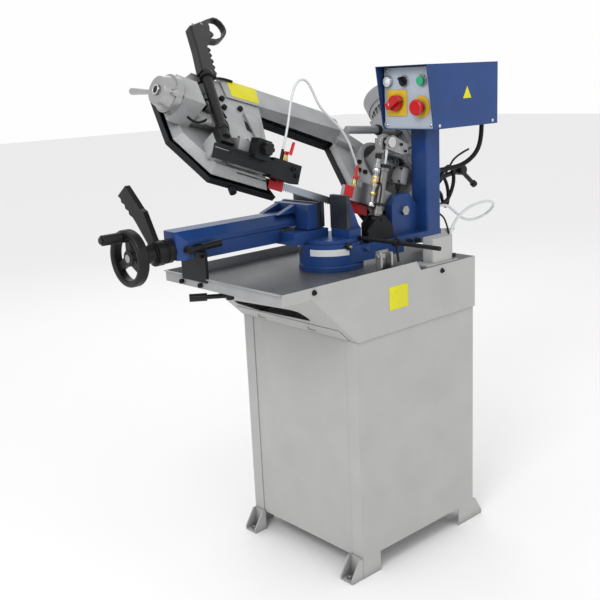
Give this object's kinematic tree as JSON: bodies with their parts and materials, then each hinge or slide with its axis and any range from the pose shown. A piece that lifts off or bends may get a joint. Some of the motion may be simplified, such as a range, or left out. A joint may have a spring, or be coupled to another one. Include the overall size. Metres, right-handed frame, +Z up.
{
  "type": "metal cutting band saw",
  "caption": "Pivoting-bow metal band saw on a sheet stand with swivel head, quick-clamp vise, chip tray, control box and handle with trigger.",
  "frame": {"origin": "on the floor at the centre of the four anchor holes of the stand", "axes": "+X along the blade towards the motor (the operator stands at -X), -Y the side where the sawn piece leaves, +Z up"},
  "size_m": [1.1576, 0.669, 1.4372],
  "materials": {
    "bare_sheet": "plain sheet metal, satin",
    "bare_steel": "machined",
    "black_hose": "ribbed conduit",
    "black_plastic": "moulded, fine grain",
    "cast_dark": "painted iron",
    "casting_grey": "light grey enamel on a casting",
    "clear_hose": "clear vinyl",
    "dark_steel": "blackened",
    "green_plastic": "glossy",
    "guard_red": "gloss enamel",
    "lamp_white": "translucent white",
    "machine_blue": "semi-gloss enamel",
    "motor_grey": "cast, painted silver grey",
    "panel_sheet": "pale blue-grey sheet",
    "polished_steel": "polished",
    "red_plastic": "glossy",
    "sheet_grey": "light grey textured enamel",
    "tray_dark": "dark satin enamel"
  },
  "bodies": {
    "base": {"stand_sides": "sheet_grey", "stand_ends": "sheet_grey", "foot_brackets": "sheet_grey", "skirt_panels": "sheet_grey", "chute_panel": "sheet_grey", "chip_tray": "bare_sheet", "base_ring": "machine_blue", "vise_bed": "machine_blue", "fixed_jaw_plates": "dark_steel", "vise_rail": "machine_blue", "rail_bracket": "tray_dark", "frame_screws": "dark_steel", "stop_rod": "dark_steel", "coolant_pump": "sheet_grey"},
    "stop_collar": {"stop_collar": "bare_steel"},
    "swivel_lock": {"swivel_lock_lever": "black_plastic"},
    "vise_slide": {"vise_beam": "machine_blue", "moving_jaw_plate": "dark_steel", "screw_boss": "bare_steel"},
    "clamp_lever": {"clamp_lever": "black_plastic"},
    "slide_lock": {"slide_lock_handle": "black_plastic"},
    "handwheel": {"handwheel": "black_plastic", "vise_screw": "bare_steel"},
    "crank_grip": {"crank_grip": "black_plastic"},
    "head": {"swivel_arm": "machine_blue", "angle_scale": "lamp_white", "hinge_pin": "bare_steel", "cylinder_clevis": "dark_steel", "control_box": "machine_blue", "control_panel": "panel_sheet", "signal_lamp": "lamp_white", "conduit": "black_hose", "supply_hose": "clear_hose"},
    "selector": {"selector_knob": "black_plastic"},
    "main_switch": {"main_switch_knob": "red_plastic"},
    "start_button": {"start_button": "green_plastic"},
    "estop": {"estop_button": "red_plastic"},
    "cylinder": {"lowering_cylinder": "bare_steel", "feed_valve": "bare_steel"},
    "valve_knob": {"valve_knob": "black_plastic"},
    "piston_rod": {"piston_rod": "polished_steel"},
    "bow": {"bow_frame": "casting_grey", "rear_cover": "dark_steel", "saw_blade": "bare_steel", "gearbox": "casting_grey", "drive_motor": "motor_grey", "guide_clamp": "dark_steel", "right_guide": "bare_steel", "guard_right": "guard_red", "feed_handle": "black_plastic", "loop_hose": "clear_hose"},
    "drive_wheel": {"drive_wheel": "cast_dark"},
    "idler_wheel": {"idler_wheel": "cast_dark"},
    "tension_hub": {"tension_hub": "motor_grey"},
    "guide_slide": {"guide_bar": "dark_steel", "guard_left": "guard_red"},
    "tap_left": {"tap_left": "red_plastic"},
    "tap_right": {"tap_right": "red_plastic"},
    "guide_knob": {"guide_knob": "black_plastic"},
    "trigger": {"trigger": "black_plastic"}
  },
  "joints": [
    {"name": "stop_collar_slide", "type": "slide", "parent": "base", "child": "stop_collar", "axis": [0, 1, 0], "range_m": [-0.11, 0.09]},
    {"name": "swivel_lock_turn", "type": "hinge", "parent": "base", "child": "swivel_lock", "pos_m": [-0.392, 0.06, 0.75], "axis": [0, 0, 1], "range_deg": [-25, 25]},
    {"name": "vise_travel", "type": "slide", "parent": "base", "child": "vise_slide", "axis": [1, 0, 0], "range_m": [-0.1, 0.0195]},
    {"name": "handwheel_spin", "type": "hinge", "parent": "vise_slide", "child": "handwheel", "pos_m": [-0.64, 0.105, 0.881], "axis": [1, 0, 0], "range_deg": [-5996, 1166]},
    {"name": "crank_grip_spin", "type": "hinge", "parent": "handwheel", "child": "crank_grip", "pos_m": [-0.69, 0.105, 0.933], "axis": [1, 0, 0], "continuous": true},
    {"name": "clamp_lever_turn", "type": "hinge", "parent": "vise_slide", "child": "clamp_lever", "pos_m": [-0.568, 0.105, 0.881], "axis": [1, 0, 0], "range_deg": [-25, 60]},
    {"name": "slide_lock_turn", "type": "hinge", "parent": "vise_slide", "child": "slide_lock", "pos_m": [-0.51, 0.062, 0.884], "axis": [0, 1, 0], "range_deg": [-6, 30]},
    {"name": "head_swivel", "type": "hinge", "parent": "base", "child": "head", "pos_m": [-0.095, 0, 0.824], "axis": [0, 0, 1], "range_deg": [0, 45]},
    {"name": "selector_turn", "type": "hinge", "parent": "head", "child": "selector", "pos_m": [0.15, -0.05, 1.249], "axis": [1, 0, 0], "range_deg": [0, 90]},
    {"name": "main_switch_turn", "type": "hinge", "parent": "head", "child": "main_switch", "pos_m": [0.145, -0.024, 1.192], "axis": [1, 0, 0], "range_deg": [0, 90]},
    {"name": "start_press", "type": "slide", "parent": "head", "child": "start_button", "axis": [1, 0, 0], "range_m": [0, 0.0035], "stiffness_N_per_m": 400},
    {"name": "estop_press", "type": "slide", "parent": "head", "child": "estop", "axis": [1, 0, 0], "range_m": [0, 0.0025]},
    {"name": "bow_tilt", "type": "hinge", "parent": "head", "child": "bow", "pos_m": [0.133, 0, 0.905], "axis": [0, 1, 0], "range_deg": [-16.5, 14.5]},
    {"name": "cylinder_swing", "type": "hinge", "parent": "head", "child": "cylinder", "pos_m": [0.018, -0.06, 0.897], "axis": [0, 1, 0], "range_deg": [-13.8, 12.16]},
    {"name": "rod_travel", "type": "slide", "parent": "cylinder", "child": "piston_rod", "axis": [0.2601, 0, 0.9656], "range_m": [-0.03114, 0.02743]},
    {"name": "valve_turn", "type": "hinge", "parent": "cylinder", "child": "valve_knob", "pos_m": [0.03354, -0.06, 1.05852], "axis": [0.2601, 0, 0.9656], "range_deg": [-180, 180]},
    {"name": "drive_wheel_spin", "type": "hinge", "parent": "bow", "child": "drive_wheel", "pos_m": [0.2316, 0.0898, 0.93752], "axis": [0.2302, -0.7071, 0.6686], "continuous": true},
    {"name": "idler_wheel_spin", "type": "hinge", "parent": "bow", "child": "idler_wheel", "pos_m": [-0.37684, 0.0898, 1.14702], "axis": [0.2302, -0.7071, 0.6686], "continuous": true},
    {"name": "tension_turn", "type": "hinge", "parent": "bow", "child": "tension_hub", "pos_m": [-0.52449, 0.0495, 1.24498], "axis": [-0.9455, 0, 0.3256], "range_deg": [-180, 180]},
    {"name": "guide_travel", "type": "slide", "parent": "bow", "child": "guide_slide", "axis": [0.9455, 0, -0.3256], "range_m": [0, 0.055]},
    {"name": "tap_left_turn", "type": "hinge", "parent": "guide_slide", "child": "tap_left", "pos_m": [-0.27644, -0.044, 1.09151], "axis": [0.3256, 0, 0.9455], "range_deg": [-40, 60]},
    {"name": "tap_right_turn", "type": "hinge", "parent": "bow", "child": "tap_right", "pos_m": [-0.01861, -0.022, 1.00485], "axis": [0.3256, 0, 0.9455], "range_deg": [-60, 40]},
    {"name": "guide_knob_turn", "type": "hinge", "parent": "bow", "child": "guide_knob", "pos_m": [-0.3616, -0.074, 1.11449], "axis": [0, 1, 0], "range_deg": [-60, 60]},
    {"name": "trigger_press", "type": "slide", "parent": "bow", "child": "trigger", "axis": [-0.9455, 0, 0.3256], "range_m": [0, 0.005], "stiffness_N_per_m": 400}
  ],
  "couplings": [
    {"joint": "vise_travel", "follows": "handwheel_spin", "m_per_rad": 0.00095493},
    {"joint": "cylinder_swing", "follows": "bow_tilt", "ratio": 0.818},
    {"joint": "rod_travel", "follows": "bow_tilt", "m_per_rad": 0.1064},
    {"joint": "idler_wheel_spin", "follows": "drive_wheel_spin", "ratio": 1}
  ]
}
